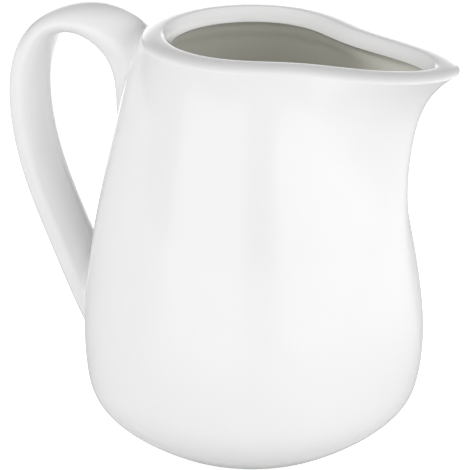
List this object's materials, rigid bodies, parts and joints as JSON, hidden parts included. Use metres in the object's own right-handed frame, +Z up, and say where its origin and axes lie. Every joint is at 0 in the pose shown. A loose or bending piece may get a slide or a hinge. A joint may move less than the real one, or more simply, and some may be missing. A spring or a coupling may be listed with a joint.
{
  "type": "milk jug",
  "caption": "Small white porcelain milk jug: round belly, rolled lip drawn out to a pinched pouring spout, oval strap handle and foot ring. Empty.",
  "frame": {"origin": "on the axis of the round body, at the underside of the foot ring", "axes": "+Z up, +X towards the tip of the spout, the handle at -X"},
  "size_m": [0.1175, 0.082, 0.1052],
  "materials": {
    "porcelain": "glossy clear glaze over white porcelain, unglazed foot ring"
  },
  "bodies": {
    "root": {"jug": "porcelain"}
  },
  "joints": []
}
